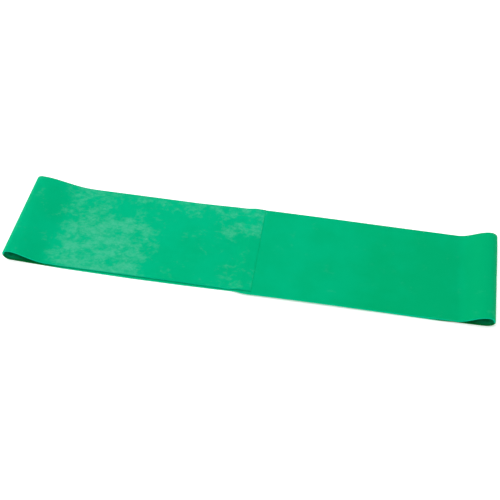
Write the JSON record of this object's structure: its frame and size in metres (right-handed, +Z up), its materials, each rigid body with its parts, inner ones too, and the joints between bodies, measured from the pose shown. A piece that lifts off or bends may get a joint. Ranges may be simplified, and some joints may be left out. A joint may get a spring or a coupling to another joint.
{
  "type": "loop resistance band",
  "caption": "Flat closed loop of latex sheet for resistance exercise, lying folded flat with an open fold at each end and a bonded lap in its upper run.",
  "frame": {"origin": "middle of the footprint, on the surface that the band lies on", "axes": "+X along the band towards the right-hand fold, +Y across its width towards the far edge, +Z up"},
  "size_m": [0.2286, 0.0508, 0.0075],
  "materials": {
    "latex": "smooth matt latex with a little powder",
    "cement": "thin rubber cement film"
  },
  "bodies": {
    "lower_left": {"lower_run_left": "latex"},
    "lower_right": {"lower_run_right": "latex"},
    "left_lower_side": {"left_end_lower": "latex", "left_end_curl": "latex"},
    "right_lower_side": {"right_end_lower": "latex", "right_end_curl": "latex"},
    "left_upper_side": {"left_end_upper": "latex"},
    "right_upper_side": {"right_end_upper": "latex"},
    "upper_left": {"upper_run_left": "latex"},
    "upper_right": {"upper_run_right": "latex"},
    "lap_top": {"lap_top_ply": "latex", "lap_cement": "cement"},
    "lap_under": {"lap_under_ply": "latex"}
  },
  "joints": [
    {"name": "stretch", "type": "slide", "parent": "lower_left", "child": "lower_right", "axis": [1, 0, 0], "range_m": [0, 0.2286], "stiffness_N_per_m": 300},
    {"name": "loop_open", "type": "hinge", "parent": "lower_right", "child": "right_lower_side", "pos_m": [0.07511, 0, 0.0004], "axis": [0, -1, 0], "range_deg": [0, 60]},
    {"name": "right_fold_open", "type": "hinge", "parent": "right_lower_side", "child": "right_upper_side", "pos_m": [0.11095, 0, 0.00335], "axis": [0, 1, 0], "range_deg": [0, 120], "deforming": ["right_end_curl"]},
    {"name": "right_upper_bend", "type": "hinge", "parent": "right_upper_side", "child": "upper_right", "pos_m": [0.06679, 0, 0.0015], "axis": [0, -1, 0], "range_deg": [0, 60]},
    {"name": "left_lower_bend", "type": "hinge", "parent": "lower_left", "child": "left_lower_side", "pos_m": [-0.0754, 0, 0.0004], "axis": [0, 1, 0], "range_deg": [0, 60]},
    {"name": "left_fold_open", "type": "hinge", "parent": "left_lower_side", "child": "left_upper_side", "pos_m": [-0.11055, 0, 0.00375], "axis": [0, -1, 0], "range_deg": [0, 120], "deforming": ["left_end_curl"]},
    {"name": "left_upper_bend", "type": "hinge", "parent": "left_upper_side", "child": "upper_left", "pos_m": [-0.0657, 0, 0.0015], "axis": [0, 1, 0], "range_deg": [0, 60]},
    {"name": "right_upper_stretch", "type": "slide", "parent": "upper_right", "child": "lap_under", "axis": [-1, 0, 0], "range_m": [0, 0.1143]},
    {"name": "left_upper_stretch", "type": "slide", "parent": "upper_left", "child": "lap_top", "axis": [1, 0, 0], "range_m": [0, 0.1143]}
  ],
  "couplings": [
    {"joint": "left_lower_bend", "follows": "loop_open", "ratio": 1},
    {"joint": "right_fold_open", "follows": "loop_open", "ratio": 2},
    {"joint": "left_fold_open", "follows": "loop_open", "ratio": 2},
    {"joint": "right_upper_bend", "follows": "loop_open", "ratio": 1},
    {"joint": "left_upper_bend", "follows": "loop_open", "ratio": 1},
    {"joint": "right_upper_stretch", "follows": "stretch", "ratio": 0.5},
    {"joint": "left_upper_stretch", "follows": "stretch", "ratio": 0.5}
  ]
}
